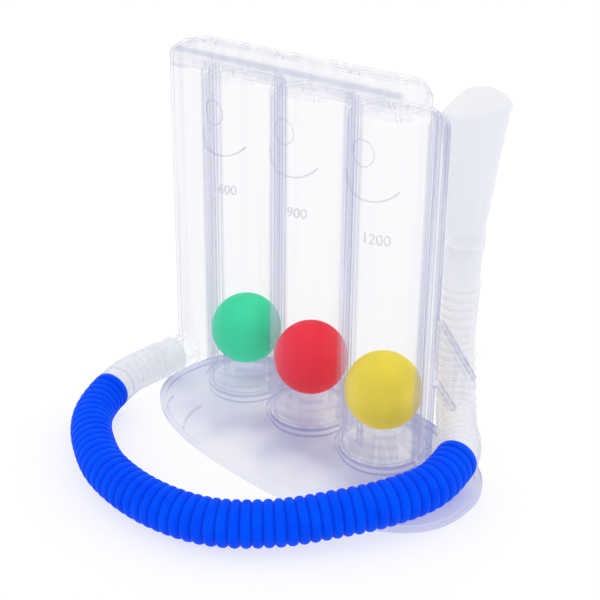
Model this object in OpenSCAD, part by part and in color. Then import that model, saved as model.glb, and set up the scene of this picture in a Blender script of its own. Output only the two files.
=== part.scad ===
// Three-ball breathing trainer with its hose and mouthpiece, standing on its foot.
// X runs along the row of chambers, -Y is the front, Z is up, and Z = 0 is the table.

/* [Chambers] */
// Distance between neighbouring chamber axes
chamber_pitch = 36.4; // [34.6:0.1:37.4]
// Inner radius of each chamber
chamber_r = 14.8; // [14.6:0.05:15.3]
// Wall of the clear mouldings
wall = 1.2; // [0.9:0.1:1.5]
// Height of the chamber roofs above the table
chamber_top = 134.7; // [118:0.5:150]
// Rounding where a chamber wall meets its roof
roof_r = 3.6; // [2.6:0.1:4.6]
// Radius of the opening from each chamber up into the duct
roof_port_r = 4.5; // [3:0.1:6]
// Depth of the ribs that stop a raised ball under the roof
stop_depth = 1.5; // [1:0.1:3]
// Width of the ribs that stop a raised ball
stop_w = 1.4; // [1:0.1:2.4]
// Height of the air windows of the three chambers, from left to right
window_h = [4.6, 6, 7.4]; // [4:0.1:8]
// Width of the air windows of the three chambers, from left to right
window_w = [4, 5, 6]; // [3:0.1:7]
// Direction of the air windows, measured from the row towards the front
window_angle = 18; // [15:1:40]

/* [Balls] */
// Radius of each ball
ball_r = 14.5; // [14.2:0.05:14.55]
// Height of a resting ball's centre above the table
ball_rest_z = 26.6; // [25:0.1:32]
// Wall of the hollow balls
ball_wall = 0.9; // [0.6:0.1:2]

/* [Duct and leg] */
// Height of the duct's top above the table
duct_top = 145; // [140:0.5:165]
// Reach of the duct and the leg in front of the parting plane
duct_front = 8.2; // [7:0.1:10]
// Reach of the duct and the leg behind the parting plane
duct_rear = 8.6; // [7:0.1:10]
// Distance from the middle chamber's axis to the duct's right end
duct_right = 49; // [48:0.1:54]
// Distance from the middle chamber's axis to the leg's outer side
leg_left = 73.5; // [71:0.1:77]
// Width of the leg
leg_w = 14.8; // [13.6:0.1:15.4]
// Rounding of the outer corner where the duct turns down
corner_r = 12; // [8:0.5:12.5]
// Rounding of the duct's right end
end_r = 6.4; // [3:0.1:7]
// Rounding of the duct's long edges
duct_edge_r = 3.4; // [2:0.1:4]
// Rounding of the duct's right end, seen from above
duct_plan_r = 7.2; // [4:0.1:7.6]
// Rounding of the leg's upright edges
leg_edge_r = 4.8; // [2:0.1:5]
// Rounding of the inner corner between the leg and the duct
inner_r = 3; // [1:0.1:5]

/* [Web and flange] */
// Thickness of the web that joins the chambers, both mouldings together
web_t = 2.9; // [2:0.1:4]
// Distance from the middle chamber's axis to the web's right edge
web_right = 61; // [57:0.1:62]
// Rounding of the web's upper right corner
web_corner_r = 6; // [3:0.1:8]

/* [Foot] */
// Length of the oval foot
foot_l = 145; // [142:0.5:160]
// Depth of the oval foot
foot_d = 78; // [74:0.5:90]
// Thickness of the foot
foot_t = 2.6; // [2:0.1:4]
// Thickness of the foot's plate inside its rim
foot_plate_t = 1.6; // [1.2:0.1:2]
// Width of the foot's rim and ribs
foot_rim_w = 2.4; // [1.6:0.1:4]
// Step round the foot's upper edge
foot_step = 0.7; // [0.3:0.1:1.2]
// Offset of the foot's centre to the right of the middle chamber
foot_x = 9; // [4:0.1:12]
// Offset of the foot's centre in front of the chambers
foot_y = 9.7; // [6:0.1:14]
// Height of the rings that locate the chambers on the foot
socket_h = 1.4; // [0.8:0.1:1.8]
// Wall of the rings that locate the chambers
socket_w = 1.4; // [1:0.1:2]

/* [Ball seats] */
// Radius of the round edge that a ball rests on
seat_edge_r = 8; // [6:0.1:10]
// Thickness of a seat's upper disc
seat_disc_t = 1.6; // [1.2:0.1:2.4]
// Thickness of a seat's lower disc
seat_base_t = 2; // [1.4:0.1:3]
// Wall of a seat's neck
neck_wall = 1.4; // [1:0.1:2]
// Width of the openings in a seat's neck
neck_window_w = 5; // [3:0.1:7]

/* [Port] */
// Distance from the middle chamber's axis to the port's axis
port_x = 64.8; // [64:0.1:66]
// Height of the port's axis above the table
port_z = 9.5; // [9.3:0.1:10.5]
// Outer radius of the port's nipple
nipple_r = 5.8; // [5:0.1:6]
// Wall of the port's nipple
nipple_wall = 1.4; // [1:0.1:1.8]
// Length of the port's nipple in front of the leg
nipple_l = 14; // [11:0.5:16]
// Radius of the collar at the nipple's root
collar_r = 7.2; // [6.6:0.1:7.6]
// Length of the collar at the nipple's root
collar_l = 2; // [1:0.1:4]
// Distance from the leg to the near end of the port cuff
cuff_gap = 7; // [5:0.1:8]

/* [Hose] */
// Outer radius of the hose's ribs
hose_r = 7.75; // [6.8:0.05:8]
// Outer radius of the hose between its ribs
hose_valley_r = 6.5; // [6:0.05:6.8]
// Radius of the hose's bore
hose_bore_r = 5.5; // [4.6:0.05:5.6]
// Outer radius of the two cuffs
cuff_r = 7.8; // [7.4:0.05:8]
// Length of the port cuff
port_cuff_l = 10; // [8:0.1:12]
// Length of the mouth cuff
mouth_cuff_l = 19.5; // [15:0.5:22]
// Height of the bead round each cuff
bead_h = 0.7; // [0.3:0.1:1]
// Width of the bead round each cuff
bead_w = 1.6; // [1:0.1:3]

/* [Mouthpiece] */
// Length of the mouthpiece above its cuff
mouth_l = 51.5; // [45:0.5:60]
// Length of the mouthpiece's round lower part
mouth_round_l = 9; // [6:0.5:16]
// Outer radius of the mouthpiece's round lower part
mouth_r = 7.7; // [7:0.05:8]
// Width of the oval lip
lip_w = 30; // [26:0.2:34]
// Depth of the oval lip
lip_d = 13.4; // [11:0.2:16]
// Wall of the mouthpiece
mouth_wall = 1.1; // [0.8:0.1:1.4]
// Length of the mouthpiece's spigot inside the cuff
spigot_l = 8; // [5:0.5:10]
// Direction of the lip's long axis
lip_turn = 74; // [0:1:90]
// Slope of the lip's open end
lip_slope = 22; // [0:1:30]
// Slope of the lip's end across its width
lip_skew = 8; // [0:1:12]

/* [Hose bracket] */
// Reach of the bracket behind the web
bracket_reach = 27; // [24:0.5:30]
// Height of the bracket's upper corner at the web
bracket_high = 63; // [56:0.5:70]
// Height of the bracket's lower corner at the web
bracket_low = 37; // [34:0.5:44]
// Height of the bracket's rear end above the table
bracket_tail = 26.4; // [25:0.2:30]
// Height of the bracket's underside above the table
bracket_toe = 21; // [20.8:0.1:22.5]
// Height of the bracket's rear edge
bracket_edge = 1.2; // [0.8:0.1:2]
// Thickness of the bracket's cheek
cheek_t = 2; // [1.4:0.1:2.6]
// Width of the rib along each sloping edge of the bracket
slope_rib_w = 5; // [3:0.1:6]
// Thickness of the rib along each sloping edge of the bracket
slope_rib_t = 2; // [1.2:0.1:2.6]
// Wall of the hose clip
clip_wall = 1.4; // [1:0.1:2]
// Height of the hose clip
clip_h = 5; // [4:0.1:5.4]
// Height of the hose clip's lower edge above the table
clip_z = 30; // [29.6:0.1:30.4]

/* [Hidden] */

// Running clearance between a ball and what it touches
ball_gap = 0.3;
// Clearance between pieces that slide together
fit = 0.15;
// Overrun of every cut
over = 1;
// Room round the hose inside its clip
clip_gap = 1;

chamber_out_r = chamber_r + wall;
roof_z = chamber_top - wall;
chamber_shares = [-1, 0, 1];
seat_z = ball_rest_z - sqrt(ball_r * ball_r - seat_edge_r * seat_edge_r) - ball_gap;
seat_r = chamber_r - fit;
ball_lift = roof_z - stop_depth - ball_gap - ball_r - ball_rest_z;

leg_right = leg_left - leg_w;
port_y = duct_front + nipple_l;
cuff_y = duct_front + cuff_gap;
hose_y = cuff_y + port_cuff_l;

// The upright end of the hose, its cuff and the mouthpiece share one leaning axis
up_base = [45.2, 32, 38];
up_lean = [0.03, 0, 1];
up_z = 60.8;
up_dir = up_lean / norm(up_lean);
up_tilt = acos(up_dir[2]);
up_turn = atan2(up_dir[1], up_dir[0]);
hose_top = up_base + up_lean * (up_z - up_base[2]);
mouth_foot = hose_top + up_dir * mouth_cuff_l;
lip_centre = mouth_foot + up_dir * mouth_l;
lip_reach = sqrt(pow(lip_w / 2 * sin(lip_turn), 2) + pow(lip_d / 2 * cos(lip_turn), 2));

// The part stands with the middle of its own footprint over the origin
mid_x = (foot_x + foot_l / 2 - leg_left) / 2;
mid_y = (lip_centre[1] + lip_reach - foot_y - foot_d / 2) / 2;

// Route of the hose's middle line from the port cuff to the mouth cuff
hose_route = [
    [-port_x, -hose_y, port_z], [-port_x, -32, port_z], [-64.5, -40, 9.4],
    [-62.5, -48, 8.8], [-58, -59, 8.1], [-50, -69.5, 7.9], [-37, -78.5, 7.9],
    [-18, -86, 7.9], [6, -87, 7.9], [28, -80.5, 7.9], [45, -66.5, 8.4],
    [57, -51, 9.6], [66.5, -36, 10.8], [71.8, -18, 10.9], [69.6, 0, 11],
    [65, 10, 11.2], [58.6, 17, 12.2], [53.2, 23.8, 15], [49.2, 29, 20.8],
    [46.4, 31.6, 29], up_base, up_base + up_lean * 8, hose_top
];
// Lengths along the route where the blue stretch starts and ends
blue_from = 27;
blue_to = 230;
rib_pitch = 3.6;
// Where a rib's crest lies, as a share of the pitch
crest_share = 0.4;
hose_sides = 8;
route_steps = 12;
// Point of the route that passes under the bracket
notch_point = 16;
// A direction that no stretch of the route runs along
frame_hint = [1, -0.2, -1];

function spline_at(p, i, t) =
    let(
        a = p[max(i - 1, 0)], b = p[i], c = p[i + 1], d = p[min(i + 2, len(p) - 1)],
        t2 = t * t, t3 = t2 * t
    )
    (2 * b + (c - a) * t + (2 * a - 5 * b + 4 * c - d) * t2 + (3 * b - a - 3 * c + d) * t3) / 2;

function running_sum(v, i = 0, sum = 0) =
    i == len(v) ? [sum] : concat([sum], running_sum(v, i + 1, sum + v[i]));

fine_route = [
    for (i = [0:len(hose_route) - 2], k = [0:route_steps - 1])
        spline_at(hose_route, i, k / route_steps),
    hose_route[len(hose_route) - 1]
];
fine_steps = [for (i = [0:len(fine_route) - 2]) norm(fine_route[i + 1] - fine_route[i])];
fine_lengths = running_sum(fine_steps);
hose_length = fine_lengths[len(fine_lengths) - 1];
route_tables = [
    for (axis = [0:2]) [for (i = [0:len(fine_route) - 1]) [fine_lengths[i], fine_route[i][axis]]]
];
function along(s) = [for (axis = [0:2]) lookup(s, route_tables[axis])];
function heading(s) =
    let(d = along(min(s + rib_pitch / 2, hose_length)) - along(max(s - rib_pitch / 2, 0)))
    d / norm(d);
function ring(s, r) =
    let(
        t = heading(s),
        side = cross(frame_hint, t) / norm(cross(frame_hint, t)),
        up = cross(t, side)
    )
    [for (k = [0:hose_sides - 1])
        along(s) + r * (cos(360 * k / hose_sides) * side + sin(360 * k / hose_sides) * up)];

echo(hose_length = hose_length, ball_lift = ball_lift, origin = [mid_x, mid_y]);

module placed() {
    translate([-mid_x, -mid_y, 0]) children();
}

// A stretch of ribbed hose with its bore, as one closed skin
module ribbed_hose(from, to) {
    ribs = round((to - from) / rib_pitch);
    pitch = (to - from) / ribs;
    outer = [
        ring(from, hose_valley_r),
        for (i = [0:ribs - 1]) each [
            ring(from + (i + crest_share) * pitch, hose_r),
            ring(from + (i + 1) * pitch, hose_valley_r)
        ]
    ];
    inner = [for (i = [0:ribs]) ring(from + i * pitch, hose_bore_r)];
    points = concat([for (r = outer) each r], [for (r = inner) each r]);
    n = hose_sides;
    m = len(outer);
    first = m * n;
    last = first + ribs * n;
    faces = [
        for (i = [0:m - 2], k = [0:n - 1]) each [
            [i * n + k, (i + 1) * n + k, (i + 1) * n + (k + 1) % n],
            [i * n + k, (i + 1) * n + (k + 1) % n, i * n + (k + 1) % n]
        ],
        for (i = [0:ribs - 1], k = [0:n - 1]) each [
            [first + i * n + k, first + (i + 1) * n + (k + 1) % n, first + (i + 1) * n + k],
            [first + i * n + k, first + i * n + (k + 1) % n, first + (i + 1) * n + (k + 1) % n]
        ],
        for (k = [0:n - 1]) each [
            [k, (k + 1) % n, first + (k + 1) % n],
            [k, first + (k + 1) % n, first + k],
            [(m - 1) * n + k, last + k, last + (k + 1) % n],
            [(m - 1) * n + k, last + (k + 1) % n, (m - 1) * n + (k + 1) % n]
        ]
    ];
    polyhedron(points, faces);
}

// A rectangle with its own rounding at each corner, from the lower left one round to the left
module rounded_box(low, high, radii) {
    difference() {
        translate(low) square(high - low);
        for (i = [0:3]) {
            right = i == 1 || i == 2;
            upper = i > 1;
            r = radii[i];
            at = [right ? high[0] : low[0], upper ? high[1] : low[1]];
            if (r > 0)
                translate(at) mirror([right ? 1 : 0, 0]) mirror([0, upper ? 1 : 0])
                    difference() {
                        translate([-over, -over]) square(r + over);
                        translate([r, r]) circle(r, $fn = 48);
                    }
        }
    }
}

// Turns a drawing of X and Z upright and gives it depth from the front to the rear
module upright(front, rear) {
    translate([0, rear, 0]) rotate([90, 0, 0]) linear_extrude(front + rear) children();
}

// Turns a drawing of Y and Z to face along X, from one X to another
module endwise(from, to) {
    translate([from, 0, 0]) rotate([90, 0, 90]) linear_extrude(to - from) children();
}

module duct_bar(inset) {
    intersection() {
        upright(duct_front + over, duct_rear + over)
            rounded_box(
                [-leg_left + inset, chamber_top + inset], [duct_right - inset, duct_top - inset],
                [0, duct_edge_r - inset, end_r - inset, corner_r - inset]);
        endwise(-leg_left - over, duct_right + over)
            rounded_box(
                [-duct_front + inset, chamber_top + inset], [duct_rear - inset, duct_top - inset],
                [0, 0, duct_edge_r - inset, duct_edge_r - inset]);
        translate([0, 0, chamber_top - over])
            linear_extrude(duct_top - chamber_top + 2 * over)
                rounded_box(
                    [-leg_left + inset, -duct_front + inset], [duct_right - inset, duct_rear - inset],
                    [
                        leg_edge_r - inset, duct_plan_r - inset,
                        duct_plan_r - inset, leg_edge_r - inset
                    ]);
    }
}

module leg_bar(inset) {
    intersection() {
        upright(duct_front + over, duct_rear + over)
            rounded_box(
                [-leg_left + inset, foot_t + inset], [-leg_right - inset, duct_top - inset],
                [0, 0, 0, corner_r - inset]);
        translate([0, 0, foot_t + inset])
            linear_extrude(duct_top - foot_t - 2 * inset)
                rounded_box(
                    [-leg_left + inset, -duct_front + inset], [-leg_right - inset, duct_rear - inset],
                    [for (i = [0:3]) leg_edge_r - inset]);
    }
}

// The fillet that fills the inner corner between the leg and the duct
module inner_corner() {
    upright(duct_front - duct_edge_r, duct_rear - duct_edge_r)
        translate([-leg_right, chamber_top]) difference() {
            translate([-over, -inner_r]) square([inner_r + over, inner_r + over]);
            translate([inner_r, -inner_r]) circle(inner_r, $fn = 48);
        }
}

module web() {
    upright(web_t / 2, web_t / 2)
        rounded_box(
            [-leg_right - over, foot_t], [web_right, chamber_top + wall],
            [0, 0, web_corner_r, 0]);
}

// The filled outline of one chamber, or its space when it is drawn with the inner sizes
module chamber_form(r, low, high, round_r) {
    rotate_extrude($fn = 96) {
        translate([0, low]) square([r, high - low - round_r]);
        translate([0, high - round_r]) square([r - round_r, round_r]);
        translate([r - round_r, high - round_r]) intersection() {
            circle(round_r, $fn = 48);
            square(round_r);
        }
    }
}

module air_window(i) {
    rotate(-window_angle)
        translate([chamber_r - wall, -window_w[i] / 2, foot_t + seat_base_t + fit])
            cube([wall * 2 + over, window_w[i], window_h[i]]);
}

// Two crossed ribs under the roof keep a raised ball off the opening
module stop_ribs() {
    for (turn = [45, 135])
        rotate(turn) difference() {
            translate([-chamber_r, -stop_w / 2, roof_z - stop_depth])
                cube([2 * chamber_r, stop_w, stop_depth + wall / 2]);
            translate([0, 0, roof_z - stop_depth - over])
                cylinder(r = roof_port_r + wall, h = stop_depth + 2 * over, $fn = 48);
        }
}

module housing() {
    difference() {
        union() {
            duct_bar(0);
            leg_bar(0);
            inner_corner();
            web();
            for (share = chamber_shares)
                translate([share * chamber_pitch, 0, 0])
                    chamber_form(chamber_out_r, foot_t, chamber_top, roof_r);
        }
        duct_bar(wall);
        leg_bar(wall);
        for (i = [0:2])
            translate([chamber_shares[i] * chamber_pitch, 0, 0]) {
                chamber_form(chamber_r, foot_t - over, roof_z, roof_r - wall);
                translate([0, 0, roof_z - over])
                    cylinder(r = roof_port_r, h = 2 * wall + 2 * over, $fn = 48);
                air_window(i);
            }
    }
    for (share = chamber_shares)
        translate([share * chamber_pitch, 0, 0]) intersection() {
            stop_ribs();
            chamber_form(chamber_r + wall / 2, foot_t, chamber_top, roof_r);
        }
}

// A tube along -Y from the leg's front, with a collar at its root
module nipple() {
    translate([-port_x, 0, port_z]) rotate([90, 0, 0]) difference() {
        union() {
            translate([0, 0, duct_front - wall])
                cylinder(r = nipple_r, h = nipple_l + wall, $fn = 64);
            translate([0, 0, duct_front - wall])
                cylinder(r = collar_r, h = collar_l + wall, $fn = 64);
        }
        translate([0, 0, duct_front - wall - over])
            cylinder(r = nipple_r - nipple_wall, h = nipple_l + wall + 2 * over, $fn = 64);
    }
}

module half_space(front) {
    reach = leg_left + foot_l;
    translate([-reach, front ? -reach : 0, -over]) cube([2 * reach, reach, duct_top + 3 * over]);
}

module front_shell() {
    color([0.86, 0.88, 0.95, 0.35]) placed() {
        difference() {
            intersection() {
                housing();
                half_space(true);
            }
            translate([-port_x, 0, port_z]) rotate([90, 0, 0])
                cylinder(r = nipple_r - nipple_wall, h = duct_front + over, $fn = 64);
        }
        nipple();
    }
}

// The cheek that steadies the upright hose, seen along X, with Y to the rear
bracket_root = web_t / 2 - over / 2;
bracket_end = web_t / 2 + bracket_reach;
bracket_run = (bracket_end - bracket_root) / (bracket_high - bracket_tail);
low_corner = [bracket_root, bracket_low];
high_corner = [bracket_root, bracket_high];
tail_corner = [bracket_end, bracket_tail];
toe_corner = [bracket_root + (bracket_low - bracket_toe) * bracket_run, bracket_toe];
arch_corner = [hose_route[notch_point][1], bracket_toe];
edge_corner = [bracket_end, bracket_tail - bracket_edge];
// How far down its edge the upper rib reaches, clear of the hose
upper_rib_share = 0.88;
upper_rib_end = high_corner + (tail_corner - high_corner) * upper_rib_share;

// A rib laid along a line from one point to another in the plane of Y and Z
module slope_rib(from, to) {
    rise = to - from;
    turn = atan2(rise[1], rise[0]);
    translate([web_right - cheek_t / 2 - slope_rib_w / 2, from[0], from[1]]) rotate([turn, 0, 0])
        cube([slope_rib_w, norm(rise), slope_rib_t]);
}

module bracket() {
    difference() {
        union() {
            endwise(web_right - cheek_t, web_right)
                polygon([
                    low_corner, high_corner, tail_corner, edge_corner, arch_corner, toe_corner
                ]);
            slope_rib(low_corner, toe_corner);
            slope_rib(high_corner - [0, slope_rib_t], upper_rib_end - [0, slope_rib_t]);
        }
        half_space(true);
    }
}

module rear_shell() {
    color([0.83, 0.86, 0.94, 0.35]) placed() {
        intersection() {
            housing();
            half_space(false);
        }
        bracket();
    }
}

// Outline of the foot, an oval with fuller ends than an ellipse
oval_power = 2.4;
oval_points = 96;
function oval_share(a) = [
    sign(cos(a)) * pow(abs(cos(a)), 2 / oval_power),
    sign(sin(a)) * pow(abs(sin(a)), 2 / oval_power)
];

module oval(inset) {
    translate([foot_x, -foot_y])
        polygon([
            for (k = [0:oval_points - 1])
                let(s = oval_share(360 * k / oval_points))
                [s[0] * (foot_l / 2 - inset), s[1] * (foot_d / 2 - inset)]
        ]);
}

module foot_plate() {
    under = foot_t - foot_plate_t;
    ring_r = chamber_out_r + fit;
    color([0.88, 0.9, 0.96, 0.4]) placed() difference() {
        union() {
            linear_extrude(foot_t - foot_step) oval(0);
            linear_extrude(foot_t) oval(foot_step);
            for (share = chamber_shares)
                translate([share * chamber_pitch, 0, 0])
                    cylinder(r = ring_r + socket_w, h = foot_t + socket_h, $fn = 96);
        }
        for (share = chamber_shares)
            translate([share * chamber_pitch, 0, foot_t])
                cylinder(r = ring_r, h = socket_h + over, $fn = 96);
        translate([-leg_left, -web_t / 2 - fit, foot_t])
            cube([leg_left + web_right + fit, web_t + 2 * fit, socket_h + over]);
        translate([-port_x, 0, port_z]) rotate([90, 0, 0])
            cylinder(r = cuff_r + 2 * fit, h = foot_d, $fn = 96);
        translate([0, 0, -over]) difference() {
            linear_extrude(under + over) oval(foot_rim_w);
            for (share = chamber_shares)
                translate([share * chamber_pitch, 0, 0])
                    cylinder(r = chamber_out_r, h = under + over, $fn = 96);
        }
    }
}

// A spool with an open neck: air comes in at its side and goes up through its middle
module seat() {
    neck_r = seat_edge_r + neck_wall;
    neck_low = foot_t + seat_base_t;
    neck_h = seat_z - seat_disc_t - neck_low;
    difference() {
        union() {
            translate([0, 0, foot_t]) cylinder(r = seat_r, h = seat_base_t, $fn = 96);
            translate([0, 0, neck_low]) cylinder(r = neck_r, h = neck_h, $fn = 96);
            translate([0, 0, seat_z - seat_disc_t]) cylinder(r = seat_r, h = seat_disc_t, $fn = 96);
        }
        translate([0, 0, neck_low]) cylinder(r = seat_edge_r, h = seat_z, $fn = 96);
        for (turn = [0, 90])
            rotate(turn) translate([-neck_r - over, -neck_window_w / 2, neck_low])
                cube([2 * neck_r + 2 * over, neck_window_w, neck_h]);
    }
}

module chamber_seat(i) {
    color([0.9, 0.92, 0.97, 0.5]) placed()
        translate([chamber_shares[i] * chamber_pitch, 0, 0]) seat();
}

module chamber_1_seat() {
    chamber_seat(0);
}

module chamber_2_seat() {
    chamber_seat(1);
}

module chamber_3_seat() {
    chamber_seat(2);
}

module ball(i) {
    placed() translate([chamber_shares[i] * chamber_pitch, 0, ball_rest_z]) difference() {
        sphere(r = ball_r, $fn = 96);
        sphere(r = ball_r - ball_wall, $fn = 64);
    }
}

module green_ball() {
    color([0.27, 0.81, 0.59]) ball(0);
}

module red_ball() {
    color([0.88, 0.17, 0.24]) ball(1);
}

module yellow_ball() {
    color([0.86, 0.77, 0.28]) ball(2);
}

// A plain sleeve with a bead near the end that the hose meets, drawn upwards from that end
module sleeve(length, bore_r) {
    bead_at = bead_w * 2;
    rotate_extrude($fn = 96) {
        translate([bore_r, 0]) square([cuff_r - bead_h - bore_r, length]);
        translate([cuff_r - bead_h - over / 2, bead_at])
            square([over / 2 + bead_h, bead_w]);
        translate([cuff_r - bead_h - over / 2, length - bead_w])
            square([over / 2 + bead_h, bead_w]);
    }
}

module port_cuff() {
    color([0.93, 0.93, 0.95]) placed()
        translate([-port_x, -hose_y, port_z]) rotate([-90, 0, 0])
            sleeve(port_cuff_l, nipple_r + fit);
}

module on_mouth_axis(at) {
    translate(at) rotate([0, up_tilt, up_turn]) children();
}

module mouth_cuff() {
    color([0.93, 0.93, 0.95]) placed()
        on_mouth_axis(hose_top) sleeve(mouth_cuff_l, nipple_r + fit);
}

module hose_port_end() {
    color([0.9, 0.91, 0.94]) placed() ribbed_hose(0, blue_from);
}

module hose_blue() {
    color([0.02, 0.24, 1]) placed() ribbed_hose(blue_from, blue_to);
}

module hose_mouth_end() {
    color([0.9, 0.91, 0.94]) placed() ribbed_hose(blue_to, hose_length);
}

// The blend from a round tube to the oval lip, drawn with all its sizes drawn in by inset
module mouth_flare(inset) {
    disc_t = mouth_wall / 4;
    hull() {
        translate([0, 0, mouth_round_l]) cylinder(r = mouth_r - inset, h = disc_t, $fn = 32);
        translate([0, 0, mouth_l]) linear_extrude(lip_d)
            lip_oval(lip_w / 2 - inset, lip_d / 2 - inset);
    }
}

lip_points = 40;
module lip_oval(a, b) {
    polygon([
        for (k = [0:lip_points - 1])
            [a * cos(360 * k / lip_points), b * sin(360 * k / lip_points)]
    ]);
}

module mouthpiece() {
    color([0.94, 0.95, 0.97, 0.8]) placed()
        on_mouth_axis(mouth_foot) rotate(lip_turn - up_turn) difference() {
            union() {
                cylinder(r = mouth_r, h = mouth_round_l, $fn = 96);
                translate([0, 0, -spigot_l]) cylinder(r = nipple_r, h = spigot_l, $fn = 96);
                mouth_flare(0);
            }
            translate([0, 0, -spigot_l - over])
                cylinder(r = nipple_r - mouth_wall, h = spigot_l + 2 * over, $fn = 96);
            translate([0, 0, mouth_wall / 2])
                cylinder(r = mouth_r - mouth_wall - fit, h = mouth_round_l, $fn = 96);
            mouth_flare(mouth_wall);
            translate([0, 0, mouth_l]) rotate([lip_slope, -lip_skew, 0])
                translate([-lip_w, -lip_w, 0]) cube([2 * lip_w, 2 * lip_w, lip_w]);
        }
}

// Where the clip's pad lies on the cheek, as a share of the cheek's reach
clip_pad_share = 0.45;

// A clip on the inside of the cheek that holds the upright hose
module hose_clip() {
    ring_r = hose_r + clip_gap + clip_wall;
    at = [up_base[0] + 3 * fit, up_base[1] - fit, clip_z];
    pad_x = web_right - cheek_t;
    pad_y = web_t / 2 + bracket_reach * clip_pad_share;
    arm = [pad_x - at[0], pad_y - at[1]];
    turn = atan2(arm[1], arm[0]);
    color([0.86, 0.88, 0.95, 0.5]) placed() difference() {
        union() {
            translate(at) cylinder(r = ring_r, h = clip_h, $fn = 96);
            intersection() {
                translate(at) rotate(turn) translate([0, -clip_wall, 0])
                    cube([norm(arm) + 2 * clip_wall, 2 * clip_wall, clip_h]);
                translate([0, 0, clip_z]) cube([pad_x, bracket_reach * 2, clip_h]);
            }
            translate([pad_x - clip_wall, pad_y - clip_wall * 2, clip_z])
                cube([clip_wall, clip_wall * 4, clip_h]);
        }
        translate([at[0], at[1], clip_z - over])
            cylinder(r = hose_r + clip_gap, h = clip_h + 2 * over, $fn = 96);
        translate(at) rotate(turn + 180) translate([0, -hose_valley_r, -over])
            cube([ring_r + over, 2 * hose_valley_r, clip_h + 2 * over]);
    }
}

front_shell();
rear_shell();
foot_plate();
chamber_1_seat();
chamber_2_seat();
chamber_3_seat();
green_ball();
red_ball();
yellow_ball();
port_cuff();
hose_port_end();
hose_blue();
hose_mouth_end();
mouth_cuff();
mouthpiece();
hose_clip();
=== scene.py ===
# %% [markdown]
# # A breathing trainer with three balls
# A patient draws air in through the mouthpiece. It flows up through the three clear chambers,
# and the balls rise one after another. The real object is two clear mouldings glued face to
# face on an oval foot, with three hollow balls inside. A ribbed hose leaves the tall leg at the
# left, loops over the table and ends upright behind the chambers, in a milky mouthpiece.
#
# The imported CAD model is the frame, and it holds every main shape at its real size. This
# lesson keeps the foot, the seats and the balls from it, and softens copies of the housing and
# of the clip. It models again the pieces whose fine shape matters to the eye: the ribbed hose,
# its cuffs and the mouthpiece. Then every piece gets its finish.

# %% Load the frame
import math

import bpy
from mathutils import Euler, Matrix, Vector


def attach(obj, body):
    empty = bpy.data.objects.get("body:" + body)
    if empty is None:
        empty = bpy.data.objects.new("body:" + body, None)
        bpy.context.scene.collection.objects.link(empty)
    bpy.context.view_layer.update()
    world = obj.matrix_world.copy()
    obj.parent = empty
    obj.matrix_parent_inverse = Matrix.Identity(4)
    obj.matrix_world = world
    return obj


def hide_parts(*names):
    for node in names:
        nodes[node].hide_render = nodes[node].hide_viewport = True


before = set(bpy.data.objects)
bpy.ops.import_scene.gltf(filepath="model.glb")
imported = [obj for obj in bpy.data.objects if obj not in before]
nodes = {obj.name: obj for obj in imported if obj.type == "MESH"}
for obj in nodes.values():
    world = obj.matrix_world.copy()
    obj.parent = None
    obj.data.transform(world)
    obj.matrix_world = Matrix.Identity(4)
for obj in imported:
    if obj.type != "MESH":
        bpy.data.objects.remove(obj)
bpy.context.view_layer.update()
MM = 0.001

# %% [markdown]
# ## The camera
# The photograph was taken from above and to the right, with a long lens. The camera's place
# was worked out from the edges of the chambers, the balls and the foot. A camera that is
# tilted far down makes upright edges lean, so it is tilted less here, and a shift of the frame
# does the rest. That keeps the edges nearly parallel, as they are in the photograph.

# %% Place the camera
# in pixels of the photograph: the axis is the row that the lens points straight at
FOCAL_PX = 1024.48
FRAME_PX = 600
AXIS_PX = 195
SENSOR_MM = 36
# in metres and degrees
CAMERA_PLACE = (0.23647, -0.26564, 0.22139)
CAMERA_DOWN = 19.521
CAMERA_TURN = 42.835
CAMERA_ROLL = 0.619

camera_turn = Euler((math.radians(90 - CAMERA_DOWN), 0, math.radians(CAMERA_TURN))).to_matrix()
camera_turn = camera_turn @ Matrix.Rotation(math.radians(CAMERA_ROLL), 3, "Z")
bpy.ops.object.camera_add(location=CAMERA_PLACE, rotation=camera_turn.to_euler())
camera = bpy.context.object
camera.name = "photo_camera"
camera.data.sensor_width = SENSOR_MM
camera.data.lens = FOCAL_PX * SENSOR_MM / FRAME_PX
camera.data.shift_y = (AXIS_PX - FRAME_PX / 2) / FRAME_PX
camera.data.clip_start = 0.01
bpy.context.scene.camera = camera
print("lens", round(camera.data.lens, 1), "mm, shift", camera.data.shift_y)

# %% [markdown]
# ## The hose's route
# A hose lies on one smooth line. These points are the middle of the real hose. A curve object
# could join them, but rings of our own need to know the length travelled, so the line is
# worked out here: it passes through every point and keeps its direction at each.

# %% Repeat the route of the CAD model, in metres
HOSE_ROUTE = [
    # straight out of the port
    (-0.0688, -0.024118, 0.0095), (-0.0688, -0.030918, 0.0095), (-0.0685, -0.038918, 0.0094),
    # down on the table and round in front of the foot
    (-0.0665, -0.046918, 0.0088), (-0.062, -0.057918, 0.0081), (-0.054, -0.068418, 0.0079),
    (-0.041, -0.077418, 0.0079), (-0.022, -0.084918, 0.0079), (0.002, -0.085918, 0.0079),
    (0.024, -0.079418, 0.0079),
    # over the foot's right end
    (0.041, -0.065418, 0.0084), (0.053, -0.049918, 0.0096), (0.0625, -0.034918, 0.0108),
    (0.0678, -0.016918, 0.0109), (0.0656, 0.001082, 0.011), (0.061, 0.011082, 0.0112),
    # up behind the bracket to the mouthpiece
    (0.0546, 0.018082, 0.0122), (0.0492, 0.024882, 0.015), (0.0452, 0.030082, 0.0208),
    (0.0424, 0.032682, 0.029), (0.0412, 0.033082, 0.038), (0.04144, 0.033082, 0.046),
    (0.041884, 0.033082, 0.0608),
]
ROUTE_STEPS = 12


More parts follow.
